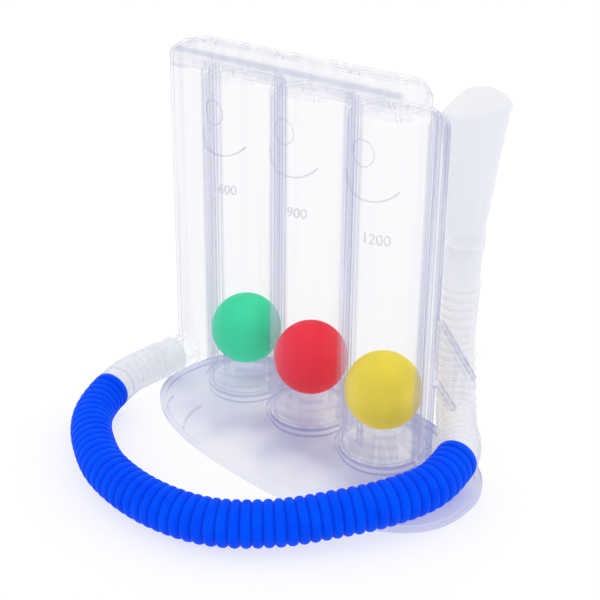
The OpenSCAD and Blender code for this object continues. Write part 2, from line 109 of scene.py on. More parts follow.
def between(points, i, t):
    """A point at share t of the way from point i to the next one."""
    a, b = Vector(points[max(i - 1, 0)]), Vector(points[i])
    c, d = Vector(points[i + 1]), Vector(points[min(i + 2, len(points) - 1)])
    bend = (2 * a - 5 * b + 4 * c - d) * t**2 + (3 * b - a - 3 * c + d) * t**3
    return (2 * b + (c - a) * t + bend) / 2


fine_route = [
    between(HOSE_ROUTE, i, k / ROUTE_STEPS)
    for i in range(len(HOSE_ROUTE) - 1)
    for k in range(ROUTE_STEPS)
] + [Vector(HOSE_ROUTE[-1])]
route_lengths = [0.0]
for before, after in zip(fine_route, fine_route[1:]):
    route_lengths.append(route_lengths[-1] + (after - before).length)
HOSE_LENGTH = route_lengths[-1]


def along(distance):
    """The point of the route at a distance from the port, running straight on past its ends."""
    if distance <= 0:
        return fine_route[0] + (fine_route[0] - fine_route[1]).normalized() * -distance
    for i in range(1, len(fine_route)):
        if distance <= route_lengths[i]:
            step = route_lengths[i] - route_lengths[i - 1]
            share = (distance - route_lengths[i - 1]) / step
            return fine_route[i - 1].lerp(fine_route[i], share)
    past = (fine_route[-1] - fine_route[-2]).normalized()
    return fine_route[-1] + past * (distance - HOSE_LENGTH)


print("the hose is", round(HOSE_LENGTH * 1000), "mm long")

# %% [markdown]
# ## The ribbed hose
# A breathing hose is blown in a mould with a wave down its length, so that it bends without
# closing. Rings of points stand square to the route, and their radius follows the wave: rounded
# crests with narrower valleys between them, and a plain ring where two colours meet. The bore
# is a second row of rings inside, so the hose is a real tube with a wall.

# %% Rings that follow a wave
RIB_PITCH = 3.6 * MM
CREST_R = 7.75 * MM
VALLEY_R = 6.75 * MM
CREST_POWER = 2.6
RING_EDGE = 0.3 * MM
RINGS_A_RIB = 8
HOSE_SIDES = 48
# never runs along the hose, so each ring takes its first direction from it
FRAME_HINT = Vector((1, -0.2, -1))


def ring_at(distance, radius):
    """One ring of points, square to the route."""
    reach = RIB_PITCH / 2
    heading = (along(distance + reach) - along(distance - reach)).normalized()
    side = FRAME_HINT.cross(heading).normalized()
    up = heading.cross(side)
    turns = [2 * math.pi * k / HOSE_SIDES for k in range(HOSE_SIDES)]
    middle = along(distance)
    return [middle + (side * math.cos(t) + up * math.sin(t)) * radius for t in turns]


def wave_profile(start, end, ring_start, ring_end):
    """Distances and outer radii down one stretch, with plain rings of the lengths asked."""
    first_rib = start + ring_start
    last_rib = end - ring_end
    ribs = round((last_rib - first_rib) / RIB_PITCH)
    pitch = (last_rib - first_rib) / ribs
    profile = []
    if ring_start:
        profile += [(start, VALLEY_R), (start + RING_EDGE, CREST_R)]
        profile += [(first_rib - RING_EDGE, CREST_R)]
    for i in range(ribs * RINGS_A_RIB + 1):
        from_crest = abs(2 * (i % RINGS_A_RIB) / RINGS_A_RIB - 1)
        rise = (CREST_R - VALLEY_R) * (1 - from_crest**CREST_POWER)
        profile.append((first_rib + i * pitch / RINGS_A_RIB, VALLEY_R + rise))
    if ring_end:
        profile += [(last_rib + RING_EDGE, CREST_R)]
        profile += [(end - RING_EDGE, CREST_R), (end, VALLEY_R)]
    return profile


print("the wave is", round((CREST_R - VALLEY_R) / MM, 2), "mm deep")

# %% [markdown]
# The rings are joined into a mesh. Each point also keeps how far along the hose it is, as an
# attribute, because the blue finish will need to know where the ribs are.

# %% Join the rings into a tube
BORE_R = 5.6 * MM
BORE_STEP = 1.8 * MM


def ribbed_hose(name, start, end, ring_start=0, ring_end=0):
    """A stretch of hose as one closed mesh, with its distance along the route as an attribute."""
    outer = wave_profile(start, end, ring_start, ring_end)
    inner_count = max(2, round((end - start) / BORE_STEP))
    inner = [(end + (start - end) * i / inner_count, BORE_R) for i in range(inner_count + 1)]
    profile = outer + inner
    verts = [point for distance, radius in profile for point in ring_at(distance, radius)]
    faces = []
    for i in range(len(profile)):
        low, high = i * HOSE_SIDES, (i + 1) % len(profile) * HOSE_SIDES
        for k in range(HOSE_SIDES):
            n = (k + 1) % HOSE_SIDES
            faces.append((low + k, low + n, high + n, high + k))
    mesh = bpy.data.meshes.new(name)
    mesh.from_pydata(verts, [], faces)
    distances = mesh.attributes.new("along_hose", "FLOAT", "POINT")
    distances.data.foreach_set("value", [d for d, _ in profile for _ in range(HOSE_SIDES)])
    piece = bpy.data.objects.new(name, mesh)
    bpy.context.scene.collection.objects.link(piece)
    piece.data.shade_smooth()
    print(name, "has", len(faces), "faces")
    return piece


# %% [markdown]
# Three stretches make the hose: a milky end that pushes onto the port, the long blue middle,
# and a milky end that stands up behind the housing.

# %% Make the three stretches
BLUE_FROM = 27 * MM
BLUE_TO = 230 * MM
END_RING = 3.4 * MM
PORT_RING = 5.4 * MM

port_end = ribbed_hose("milky_hose_at_port", 0, BLUE_FROM, ring_end=PORT_RING)
blue_hose = ribbed_hose("blue_hose", BLUE_FROM, BLUE_TO, ring_start=END_RING, ring_end=END_RING)
mouth_end = ribbed_hose("milky_hose_at_mouth", BLUE_TO, HOSE_LENGTH)

for piece, node in (
    (port_end, "hose_port_end"), (blue_hose, "hose_blue"), (mouth_end, "hose_mouth_end")
):
    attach(piece, "trainer")
    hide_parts(node)
print("blue stretch", round((BLUE_TO - BLUE_FROM) * 1000), "mm")

# %% [markdown]
# ## Turned pieces
# Cuffs are round, so they could be spun from a profile. Here a ring of edges is extruded and
# scaled, once for each step of the profile, up the outside and down the inside, and the last
# ring is bridged to the first. That is how a person would draw them in edit mode, and it
# gives a closed wall. An oval ring is the same with two radii.

# %% A helper that draws a piece ring by ring


def deselect_all():
    bpy.ops.object.select_all(action="DESELECT")


def drawn_in_rings(name, rings, sides=64):
    """Rings are (height, radius across X, radius across Y), up the outside and down the inside."""
    deselect_all()
    height, across_x, across_y = rings[0]
    bpy.ops.mesh.primitive_circle_add(vertices=sides, radius=1, location=(0, 0, 0))
    piece = bpy.context.object
    piece.name = piece.data.name = name
    bpy.ops.object.mode_set(mode="EDIT")
    bpy.ops.mesh.select_all(action="SELECT")
    bpy.ops.transform.resize(value=(across_x, across_y, 1))
    bpy.ops.transform.translate(value=(0, 0, height))
    for next_height, next_x, next_y in rings[1:]:
        bpy.ops.mesh.extrude_edges_move(
            TRANSFORM_OT_translate={"value": (0, 0, next_height - height)}
        )
        # the factor along Z is 1, so the new ring keeps its height
        bpy.ops.transform.resize(
            value=(next_x / across_x, next_y / across_y, 1), center_override=(0, 0, 0)
        )
        height, across_x, across_y = next_height, next_x, next_y
    bpy.ops.mesh.select_all(action="DESELECT")
    bpy.ops.mesh.select_non_manifold(extend=False)
    bpy.ops.mesh.bridge_edge_loops()
    bpy.ops.mesh.select_all(action="SELECT")
    bpy.ops.mesh.normals_make_consistent(inside=False)
    bpy.ops.object.mode_set(mode="OBJECT")
    print(name, "drawn in", len(rings), "rings")
    return piece


# %% [markdown]
# A piece is drawn upright at the origin and then put in its place. Its place is applied to its
# mesh, so that the object itself stays at the origin, as every piece of the frame does.

# %% Helpers that place a piece and smooth it


def put(piece, matrix):
    """Moves a finished piece to its place and leaves its object at the origin."""
    deselect_all()
    piece.select_set(True)
    bpy.context.view_layer.objects.active = piece
    piece.matrix_world = matrix
    bpy.ops.object.transform_apply(location=True, rotation=True, scale=True)


def smooth(piece, angle):
    """Shades a piece smooth, apart from edges sharper than the angle."""
    deselect_all()
    piece.select_set(True)
    bpy.context.view_layer.objects.active = piece
    bpy.ops.object.shade_smooth_by_angle(angle=math.radians(angle))


# %% [markdown]
# ## The two cuffs
# Each end of the hose is a smooth sleeve, with a flare where it meets the ribs and a rounded
# bead at its rim. The one at the port lies along Y. The other stands on the leaning line of
# the mouthpiece.

# %% Draw the cuffs
# (height, radius) in millimetres, the flare from the ribs and the bead back from the rim
CUFF_FLARE = [(0, 6.9), (0.4, 7.35), (1.0, 7.8), (2.2, 7.8), (2.8, 7.35), (3.3, 7.1)]
CUFF_BEAD = [(3.0, 7.1), (2.4, 7.35), (1.9, 7.75), (1.2, 7.8), (0.5, 7.7), (0.1, 7.3), (0, 6.9)]
CUFF_BORE_R = 5.95
MOUTH_CUFF_L = 19.5
PORT_CUFF_L = 10
# how far the mouthpiece leans to the right for each unit up
MOUTH_LEAN = 0.03


def cuff(name, length):
    """A sleeve that stands on the origin."""
    bead = [(length - back, radius) for back, radius in CUFF_BEAD]
    bore = [(height, CUFF_BORE_R) for height in (length, length / 2, 0)]
    profile = CUFF_FLARE + bead + bore
    piece = drawn_in_rings(name, [(h * MM, r * MM, r * MM) for h, r in profile])
    smooth(piece, angle=50)
    return piece


hose_top = Vector(HOSE_ROUTE[-1])
mouth_axis = Vector((MOUTH_LEAN, 0, 1)).normalized()
mouth_turn = Vector((0, 0, 1)).rotation_difference(mouth_axis).to_matrix().to_4x4()

port_cuff = cuff("port_sleeve", PORT_CUFF_L)
put(port_cuff, Matrix.Translation(HOSE_ROUTE[0]) @ Matrix.Rotation(math.radians(-90), 4, "X"))
mouth_cuff = cuff("mouth_sleeve", MOUTH_CUFF_L)
put(mouth_cuff, Matrix.Translation(hose_top) @ mouth_turn)
for piece, node in ((port_cuff, "port_cuff"), (mouth_cuff, "mouth_cuff")):
    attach(piece, "trainer")
    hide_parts(node)
print("cuffs", PORT_CUFF_L, "and", MOUTH_CUFF_L, "mm long")

# %% [markdown]
# Now that the sleeves are there, the path of the blue stretch, which lies loose on the table,
# is worked out as a row of points along the route.

CORD_STEPS = 200
blue_path = [
    along(BLUE_FROM + (BLUE_TO - BLUE_FROM) * i / CORD_STEPS) for i in range(CORD_STEPS + 1)
]
tuple(along(BLUE_FROM))
print("the cord's path has", len(blue_path), "points")

# %% [markdown]
# ## The mouthpiece
# It starts round, where its spigot sits in the cuff, and opens into a wide flat oval for the
# lips, with a rounded bead at its rim. It could be spun and then flattened, but the rings of
# the cuffs do it at once: they grow from round to oval, up the outside and down the bore.

# %% Draw the mouthpiece, in millimetres
MOUTH_L = 50.5
MOUTH_ROUND_L = 9
MOUTH_ROUND_R = 7.7
LIP_HALF_W = 15
LIP_HALF_D = 6.7
MOUTH_WALL = 1.1
NECK_INSET = 0.35
BODY_FROM = 8
BODY_RINGS = 12
# (height, how far inside the round radius) of the spigot, the collar and the neck
SPIGOT_AND_COLLAR = [
    (-8, 1.9), (0, 1.9), (0.02, 0.5), (0.5, 0), (1.6, 0), (2.1, NECK_INSET), (4, NECK_INSET)
]
# (height above the body, how far outside it) round the rim
RIM_BEAD = [(-0.2, 0.35), (0.2, 0.5), (1.6, 0.55), (2.1, 0.25), (2.3, -0.3), (2.1, -0.8)]
# (height, radius) of the bore below the body, on the way down
LOWER_BORE = [(2, 6.4), (0.6, 4.7), (-8, 4.7)]


def mouth_radii(height):
    """Half width and half depth of the mouthpiece at a height above its cuff."""
    share = min(max((height - MOUTH_ROUND_L) / (MOUTH_L - MOUTH_ROUND_L), 0), 1)
    wide = MOUTH_ROUND_R + (LIP_HALF_W - MOUTH_ROUND_R) * share
    deep = MOUTH_ROUND_R + (LIP_HALF_D - MOUTH_ROUND_R) * share
    return wide, deep


outside = [(h, MOUTH_ROUND_R - inset, MOUTH_ROUND_R - inset) for h, inset in SPIGOT_AND_COLLAR]
inside = []
for i in range(BODY_RINGS):
    height = BODY_FROM + (MOUTH_L - BODY_FROM) * i / (BODY_RINGS - 1)
    wide, deep = mouth_radii(height)
    inset = 0 if i else NECK_INSET
    outside.append((height, wide - inset, deep - inset))
    inside.append((height, wide - MOUTH_WALL, deep - MOUTH_WALL))
wide, deep = mouth_radii(MOUTH_L)
rim = [(MOUTH_L + rise, wide + out, deep + out) for rise, out in RIM_BEAD]
inside = inside[::-1] + [(h, r, r) for h, r in LOWER_BORE]
mouth_rings = [(h * MM, a * MM, b * MM) for h, a, b in outside + rim + inside]
mouthpiece = drawn_in_rings("mouthpiece_tube", mouth_rings, sides=80)

# %% [markdown]
# The real end is cut on a slant, and its rim is no flat cut either: one side sags and one tip
# falls. A cut would leave a sharp edge, so the upper points are moved up and down instead, the
# more the higher they are. The wall stays even right up to the rim.

# %% Slant the lip and stand the mouthpiece on its cuff
LIP_SLOPE = math.tan(math.radians(22))
LIP_SKEW = math.tan(math.radians(8))
LIP_SAG = 6.5
LIP_TIP_FALL = 3.2
LIP_TURN = math.radians(74)
LEAN_FROM = 20
LEAN_POWER = 1.5

for vertex in mouthpiece.data.vertices:
    height = vertex.co.z / MM
    lean = min(max((height - LEAN_FROM) / (MOUTH_L - LEAN_FROM), 0), 1) ** LEAN_POWER
    across, deep_share = vertex.co.x / MM / LIP_HALF_W, vertex.co.y / MM / LIP_HALF_D
    sag = LIP_SAG * max(-across, 0) * max(deep_share, 0) + LIP_TIP_FALL * max(across, 0) ** 4
    vertex.co.z += (vertex.co.y * LIP_SLOPE + vertex.co.x * LIP_SKEW - sag * MM) * lean
smooth(mouthpiece, angle=50)
mouth_foot = hose_top + mouth_axis * MOUTH_CUFF_L * MM
put(mouthpiece, Matrix.Translation(mouth_foot) @ mouth_turn @ Matrix.Rotation(LIP_TURN, 4, "Z"))
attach(mouthpiece, "trainer")
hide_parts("mouthpiece")
print("mouthpiece reaches", round(max(v.co.z for v in mouthpiece.data.vertices) * 1000, 1), "mm")

# %% [markdown]
# ## Raised marks on the chambers
# Each chamber front carries a curved ridge at the height where a raised ball should stand, a
# small round boss, and a plain number for the flow that lifts its ball. They stand a fraction
# of a millimetre out of the moulding. Each is drawn flat, facing the front, and then laid onto
# the round wall by moving its points: a shrinkwrap modifier could do that too, but a sum keeps
# their thickness exactly.

# %% Lay a flat shape onto a chamber's wall
CHAMBER_X = (-0.0404, -0.004, 0.0324)
CHAMBER_Y = 0.00108
CHAMBER_R = 16.0 * MM
MARK_SINK = 0.05 * MM
UPRIGHT = (math.radians(90), 0, 0)


def lay_on_chamber(piece, axis_x, sink):
    """Wraps a shape that was drawn facing -Y round the front of a chamber."""
    for vertex in piece.data.vertices:
        turn = (vertex.co.x - axis_x) / CHAMBER_R
        radius = CHAMBER_R - sink - vertex.co.y
        vertex.co.x = axis_x + radius * math.sin(turn)
        vertex.co.y = CHAMBER_Y - radius * math.cos(turn)


def ride_on_shell(piece):
    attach(piece, "trainer")


print("chambers stand", round((CHAMBER_X[1] - CHAMBER_X[0]) / MM, 1), "mm apart")

# %% [markdown]
# A ridge is a slim torus. It is cut off at the height where its arc ends, flattened a little
# and leant to one side, as the moulded one is.

# %% Lay the curved ridges
ARC_Z = 0.1213
ARC_R = 15.6 * MM
ARC_THICK_R = 0.42 * MM
ARC_CUT = 8.5 * MM
ARC_FLAT = 0.8
ARC_LEAN = 0.12
marks = []
for number, axis_x in enumerate(CHAMBER_X, start=1):
    deselect_all()
    bpy.ops.mesh.primitive_torus_add(
        location=(axis_x, 0, ARC_Z), rotation=UPRIGHT, major_segments=96, minor_segments=10,
        major_radius=ARC_R, minor_radius=ARC_THICK_R,
    )
    ridge = bpy.context.object
    ridge.name = f"level_ridge_{number}"
    bpy.ops.object.transform_apply(location=True, rotation=True, scale=True)
    bpy.ops.object.mode_set(mode="EDIT")
    bpy.ops.mesh.select_all(action="SELECT")
    bpy.ops.mesh.bisect(
        plane_co=(axis_x, 0, ARC_Z - ARC_CUT), plane_no=(0, 0, 1), clear_outer=True, use_fill=True
    )
    bpy.ops.object.mode_set(mode="OBJECT")
    lowest = ARC_Z - ARC_R
    for vertex in ridge.data.vertices:
        lean = (vertex.co.x - axis_x) * ARC_LEAN
        vertex.co.z = lowest + (vertex.co.z - lowest) * ARC_FLAT - lean
    lay_on_chamber(ridge, axis_x, MARK_SINK)
    smooth(ridge, angle=60)
    ride_on_shell(ridge)
    marks.append(ridge)
print("ridges", [mark.name for mark in marks])

# %% [markdown]
# A boss is where the plastic ran into the mould. Its round edge is all that shows, so it is a
# very slim torus, laid on the wall a little left of the chamber's middle.

# %% Add the round bosses
BOSS_LEFT = 0.6 * MM
BOSS_Z = 0.1217
BOSS_R = 4.7 * MM
BOSS_THICK_R = 0.2 * MM
for number, axis_x in enumerate(CHAMBER_X, start=1):
    deselect_all()
    bpy.ops.mesh.primitive_torus_add(
        location=(axis_x - BOSS_LEFT, 0, BOSS_Z), rotation=UPRIGHT, major_segments=64,
        minor_segments=10, major_radius=BOSS_R, minor_radius=BOSS_THICK_R,
    )
    boss = bpy.context.object
    boss.name = f"gate_boss_{number}"
    bpy.ops.object.transform_apply(location=True, rotation=True, scale=True)
    lay_on_chamber(boss, axis_x, MARK_SINK)
    smooth(boss, angle=80)
    ride_on_shell(boss)
    marks.append(boss)
print("bosses of", round(2 * BOSS_R / MM, 1), "mm")

# %% [markdown]
# The numbers are text objects with a little depth, made into meshes before they are laid on
# the wall. They stand below the ridge, right of the chamber's middle.

# %% Add plain flow numbers
FLOWS = ("600", "900", "1200")
NUMBER_RIGHT = 5.6 * MM
NUMBER_Z = 0.0905
NUMBER_SIZE = 5.4 * MM
NUMBER_DEPTH = 0.25 * MM
NUMBER_SINK = 0.1 * MM
SAME_POINT = 1e-6
for number, (axis_x, flow) in enumerate(zip(CHAMBER_X, FLOWS), start=1):
    deselect_all()
    bpy.ops.object.text_add(location=(axis_x + NUMBER_RIGHT, 0, NUMBER_Z), rotation=UPRIGHT)
    label = bpy.context.object
    label.data.body = flow
    label.data.size = NUMBER_SIZE
    label.data.align_x = "CENTER"
    label.data.extrude = NUMBER_DEPTH
    bpy.ops.object.convert(target="MESH")
    label = bpy.context.object
    label.name = label.data.name = f"flow_number_{number}"
    bpy.ops.object.transform_apply(location=True, rotation=True, scale=True)
    bpy.ops.object.mode_set(mode="EDIT")
    bpy.ops.mesh.select_all(action="SELECT")
    bpy.ops.mesh.remove_doubles(threshold=SAME_POINT)
    bpy.ops.object.mode_set(mode="OBJECT")
    lay_on_chamber(label, axis_x, NUMBER_SINK)
    ride_on_shell(label)
    marks.append(label)
print("marks on the chambers:", len(marks))

# %% [markdown]
# ## Ribs on the foot
# Short ribs run from the rim of the foot towards the chambers and stiffen its thin plate. Each
# is a slim bar, bowed a little. A curve with a bevel could be used, but a cube whose end face
# is extruded step by step gives the square section of a moulded rib, and a bevel rounds it.

# %% Lay the foot ribs
FOOT_TOP = 2.6 * MM
RIB_W = 0.7 * MM
RIB_H = 0.5 * MM
RIB_STEPS = 6
RIB_BOW = 0.10
RIB_ROUNDING = 0.2 * MM
FOOT_RIBS = (
    ((-0.0308, -0.0425), (-0.0377, -0.0270)),
    ((-0.0460, -0.0375), (-0.0515, -0.0300)),
    ((0.0600, -0.0340), (0.0560, -0.0230)),
)
for number, (start, end) in enumerate(FOOT_RIBS, start=1):
    run = Vector(end) - Vector(start)
    deselect_all()
    bpy.ops.mesh.primitive_cube_add(size=1, location=(*start, FOOT_TOP))
    rib = bpy.context.object
    rib.name = rib.data.name = f"foot_rib_{number}"
    rib.scale = (RIB_W, RIB_W, RIB_H * 2)
    rib.rotation_euler = (0, 0, math.atan2(run.y, run.x))
    bpy.ops.object.transform_apply(location=True, rotation=True, scale=True)
    for step in range(RIB_STEPS):
        share = (step + 1) / RIB_STEPS
        # the bow is fullest in the middle and nothing at both ends
        bow = Vector((-run.y, run.x)) * RIB_BOW * 4 * share * (1 - share)
        reach = Vector(start) + run * share + bow
        bpy.ops.object.mode_set(mode="EDIT")
        bpy.ops.mesh.select_all(action="DESELECT")
        bpy.ops.object.mode_set(mode="OBJECT")
        ahead = max(
            rib.data.polygons, key=lambda face: face.center.xy.dot(run) + face.normal.xy.dot(run)
        )
        ahead.select = True
        move = reach - ahead.center.xy
        bpy.ops.object.mode_set(mode="EDIT")
        bpy.ops.mesh.select_mode(type="FACE")
        bpy.ops.mesh.extrude_region_move(TRANSFORM_OT_translate={"value": (*move, 0)})
        bpy.ops.object.mode_set(mode="OBJECT")
    rounding = rib.modifiers.new("rounding", "BEVEL")
    rounding.width = RIB_ROUNDING
    rounding.segments = 2
    bpy.ops.object.modifier_apply(modifier="rounding")
    smooth(rib, angle=60)
    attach(rib, "trainer")
    marks.append(rib)
print("marks with the foot's ribs:", len(marks))

# %% [markdown]
# ## The clear mouldings
# The housing's two halves come from the frame, but a few of their forms are softer on the real
# one: the duct's top is two low ridges with a groove along the seam, its free end is domed, the
# chamber roofs fall a little towards the front and back, and the flange ends nearer the last
# chamber. Sculpting would be loose here, so each form is a small sum on a point's place.

# %% Say how the forms differ
SEAM_Y = 1.08 * MM
# the duct: half its depth, the end of its top, and where its ridges begin and end in height
DUCT_HALF = 8.4 * MM
DUCT_END = 45.0 * MM
RIDGE_FROM = 137.0 * MM
DUCT_TOP = 145.0 * MM
# a ridge's crest, as a share of the half depth, and how far its groove and shoulder lie below
RIDGE_CREST = 0.45
GROOVE = 1.1 * MM
SHOULDER = 5.0 * MM
# the chamber roofs: where they begin, how high and how deep they are, and how far they fall
ROOF_FROM = 118.0 * MM
ROOF_RISE = 13.0 * MM
ROOF_DEPTH = 7.6 * MM
ROOF_FALL = 2.2 * MM
FLANGE_FROM = 48.6 * MM
FLANGE_KEEP = 0.7


def ridge_drop(x, y):
    """How far the duct's top lies below its highest line at a place."""
    past_end = max(x - (DUCT_END - DUCT_HALF), 0)
    reach = min(math.hypot(past_end, y - SEAM_Y) / DUCT_HALF, 1)
    if reach < RIDGE_CREST:
        return GROOVE * (1 - reach / RIDGE_CREST) ** 2
    share = (reach - RIDGE_CREST) / (1 - RIDGE_CREST)
    return SHOULDER * (1 - math.sqrt(max(1 - share**2, 0)))


def reshape(co):
    """Moves one point of the housing to the softer form."""
    if co.z > RIDGE_FROM:
        full = DUCT_TOP - RIDGE_FROM
        co.z = RIDGE_FROM + (co.z - RIDGE_FROM) * (full - ridge_drop(co.x, co.y)) / full
    elif co.z > ROOF_FROM:
        beyond_duct = max(abs(co.y - SEAM_Y) - DUCT_HALF, 0) / ROOF_DEPTH
        co.z -= ROOF_FALL * min(beyond_duct, 1) * min((co.z - ROOF_FROM) / ROOF_RISE, 1)
    if co.x > FLANGE_FROM:
        co.x = FLANGE_FROM + (co.x - FLANGE_FROM) * FLANGE_KEEP


print("the groove is", round(ridge_drop(0, SEAM_Y) / MM, 1), "mm deep")

# %% [markdown]
# A flat face can't be bent without points to move. So each half is copied, its loose triangles
# are merged, and the duct is cut into narrow strips, along its length and over its domed end.
# The clip holds the hose to the bracket, which moves with the flange, so it moves too.

# %% Helpers that copy a moulding and cut its duct
CUT_ABOVE = 136.2 * MM
STRIPS = 7
STRIP_DEPTH = 1.05 * MM
STRIP_LENGTH = 1.2 * MM


def merged_copy(node, name):
    """A copy of a node's mesh whose triangles share their points."""
    deselect_all()
    piece = bpy.data.objects.new(name, node.data.copy())
    piece.data.name = name
    bpy.context.scene.collection.objects.link(piece)
    piece.select_set(True)
    bpy.context.view_layer.objects.active = piece
    bpy.ops.mesh.customdata_custom_splitnormals_clear()
    bpy.ops.object.mode_set(mode="EDIT")
    bpy.ops.mesh.select_all(action="SELECT")
    bpy.ops.mesh.remove_doubles(threshold=SAME_POINT)
    bpy.ops.mesh.select_mode(type="FACE")
    bpy.ops.mesh.select_all(action="DESELECT")
    bpy.ops.object.mode_set(mode="OBJECT")
    return piece


def cut_duct(piece, place, normal):
    """Cuts the faces of the duct's upper part by a plane."""
    for face in piece.data.polygons:
        face.select = face.center.z > CUT_ABOVE
    bpy.ops.object.mode_set(mode="EDIT")
    bpy.ops.mesh.bisect(plane_co=place, plane_no=normal)
    bpy.ops.mesh.select_all(action="DESELECT")
    bpy.ops.object.mode_set(mode="OBJECT")


# %% [markdown]
# Both halves are cut and reshaped in the same way, each on its own side of the seam. The clip
# has no duct, so it is only reshaped.

# %% Reshape copies of the housing and of its clip
soft_pieces = []
for node_name, name in (
    ("front_shell", "housing_front"), ("rear_shell", "housing_rear"), ("hose_clip", "clip")
):
    piece = merged_copy(nodes[node_name], name)
    if node_name != "hose_clip":
        side = -1 if node_name == "front_shell" else 1
        for step in range(1, STRIPS + 1):
            cut_duct(piece, (0, SEAM_Y + side * step * STRIP_DEPTH, 0), (0, 1, 0))
        for step in range(STRIPS):
            cut_duct(piece, (DUCT_END - DUCT_HALF + step * STRIP_LENGTH, 0, 0), (1, 0, 0))
    for vertex in piece.data.vertices:
        reshape(vertex.co)
    smooth(piece, angle=35)
    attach(piece, "trainer")
    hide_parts(node_name)
    soft_pieces.append(piece)
    print(name, "has", len(piece.data.polygons), "faces")
housing_front, housing_rear, clip = soft_pieces

# %% [markdown]
# ## Shader sums in plain Python
# A material is worked out from node to node, and its sums could be wired by hand. This small
# class wraps a socket instead, so that they are written as they are said: each sign adds one
# Math node.

# %% Wrap a socket


class Value:
    """A shader socket that can stand in a sum."""

    def __init__(self, tree, socket):
        self.tree = tree
        self.socket = socket

    def combine(self, operation, first, second):
        node = self.tree.nodes.new("ShaderNodeMath")
        node.operation = operation
        for slot, value in zip(node.inputs, (first, second)):
            if isinstance(value, Value):
                self.tree.links.new(value.socket, slot)
            else:
                slot.default_value = value
        return Value(self.tree, node.outputs[0])

    def __add__(self, other):
        return self.combine("ADD", self, other)

    def __sub__(self, other):
        return self.combine("SUBTRACT", self, other)

    def __rsub__(self, other):
        return self.combine("SUBTRACT", other, self)

    def __mul__(self, other):
        return self.combine("MULTIPLY", self, other)

    __radd__ = __add__
    __rmul__ = __mul__

    def power(self, other):
        return self.combine("POWER", self, other)

    def at_least(self, other):
        return self.combine("MAXIMUM", self, other)

    def cosine(self):
        return self.combine("COSINE", self, 0.0)


# %% [markdown]
# Each material has one Principled shader. Its constants are set on the shader itself, and
# whatever changes over the surface is fed to it by nodes, which all come from one method.

# %% Build a material


class Finish:
    """A material with one Principled shader, and the means to add nodes to it."""

    def __init__(self, name, **constants):
        self.material = bpy.data.materials.new(name)
        self.material.use_nodes = True
        self.tree = self.material.node_tree
        self.shader = self.tree.nodes["Principled BSDF"]
        for socket, value in constants.items():
            self.shader.inputs[socket.replace("_", " ")].default_value = value

    def node(self, kind, settings=None, out=0, **sockets):
        """Any other node: its settings are set first, then its sockets, by value or link."""
        made = self.tree.nodes.new("ShaderNode" + kind)
        for name, value in (settings or {}).items():
            setattr(made, name, value)
        for name, value in sockets.items():
            slot = made.inputs[name.replace("_", " ")]
            if isinstance(value, Value):
                self.tree.links.new(value.socket, slot)
            else:
                slot.default_value = value
        return Value(self.tree, made.outputs[out])

    def mix(self, factor, first, second):
        """A colour between two others."""
        made = self.tree.nodes.new("ShaderNodeMix")
        made.data_type = "RGBA"
        for slot, value in ((0, factor), (6, first), (7, second)):
            if isinstance(value, Value):
                self.tree.links.new(value.socket, made.inputs[slot])
            else:
                made.inputs[slot].default_value = value
        return Value(self.tree, made.outputs[2])

    def feed(self, socket, value):
        self.tree.links.new(value.socket, self.shader.inputs[socket])

    def place(self):
        """The place of a point in the object's own coordinates."""
        return self.node("TexCoord", out=3)

    def upward(self):
        """How far a face looks up: 1 for a level top, 0 for an upright wall."""
        return self.node("SeparateXYZ", out=2, Vector=self.node("TexCoord", out=1))

    def noise(self, scale, detail=2.0):
        return self.node("TexNoise", Vector=self.place(), Scale=scale, Detail=detail)

    def uneven_gloss(self, scale, least, spread):
        """Roughness that varies a little, because no moulding is evenly smooth."""
        self.feed("Roughness", self.noise(scale) * spread + least)

    def bump(self, height, depth):
        """A normal tilted by a height, and the shader fed with it."""
        tilted = self.node("Bump", Height=height, Distance=depth, Strength=1.0)
        self.feed("Normal", tilted)
        return tilted


# %% [markdown]
# ## The clear plastic
# Polystyrene is as clear as glass and shows a cool lilac grey where a wall is seen edge on.
# Real refraction could be used, but the two mouldings touch face to face, and light would be
# lost between them. So the surface is a thin film instead: nearly open where it faces the eye,
# and closing towards its edges, slowly at first and fast at the very end. Fine upright streaks
# of painted reflection break it up, as reflections in the walls do, and its lilac is deeper
# where they are strong. Upper faces show less film, a painted reflection of the sky. A slow
# wave stands for the flow of the moulding, which makes the highlights wander.

# %% Make a film
FILM_IOR = 1.12
WAVE_SCALE = 45
SLOW_CLOSING = 0.26
EDGE_CLOSING = 0.9
# the streaks of painted reflection: their shape, and how their noise becomes lines of film
STREAK_STRETCH = (1, 1, 0.03)
STREAK_GAIN = 3.2
STREAK_CUT = 0.9
STREAK_LEAST = 0.3
# the deeper colour, painted with the streaks and the painted shade: the noise between which
# it comes in, its share, and the tint it keeps
DEEP_FROM = 0.48
DEEP_TO = 0.66
DEEP_SHARE = 0.9
DEEP_TINT = (0.56, 0.58, 0.76)
DEEP_WHERE_PAINTED_SHADE = 2.5


